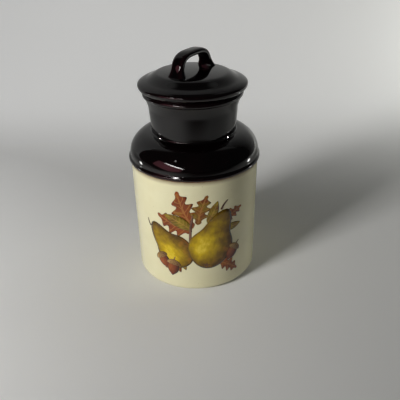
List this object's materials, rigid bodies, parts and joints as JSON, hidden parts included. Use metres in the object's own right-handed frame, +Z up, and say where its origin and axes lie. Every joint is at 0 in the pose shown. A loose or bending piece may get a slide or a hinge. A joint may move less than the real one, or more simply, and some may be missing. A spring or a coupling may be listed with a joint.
{
  "type": "kitchen canister",
  "caption": "Stoneware kitchen canister shaped like a milk can, with a cream body, brown shoulder and neck, and a domed lift-off lid with a strap handle and a soft seal.",
  "frame": {"origin": "on the jar's axis, in the plane of the foot ring that it stands on", "axes": "+Z up along the jar's axis; -Y is the decorated front; the lid's handle lies across the top, turned 56 degrees from +X towards +Y"},
  "size_m": [0.1442, 0.1442, 0.254],
  "materials": {
    "jar_glaze": "glossy cream glaze, dark brown above the shoulder ledge",
    "lid_glaze": "glossy dark brown glaze",
    "handle_glaze": "glossy dark brown glaze",
    "seal": "soft translucent off-white"
  },
  "bodies": {
    "jar": {"jar": "jar_glaze"},
    "seal": {"lid_seal": "seal"},
    "lid": {"lid": "lid_glaze", "lid_handle": "handle_glaze"}
  },
  "joints": [
    {"name": "lid_lift", "type": "slide", "parent": "jar", "child": "seal", "axis": [0, 0, 1], "range_m": [0, 0.15]},
    {"name": "lid_turn", "type": "hinge", "parent": "seal", "child": "lid", "pos_m": [0, 0, 0.2], "axis": [0, 0, 1], "continuous": true}
  ]
}
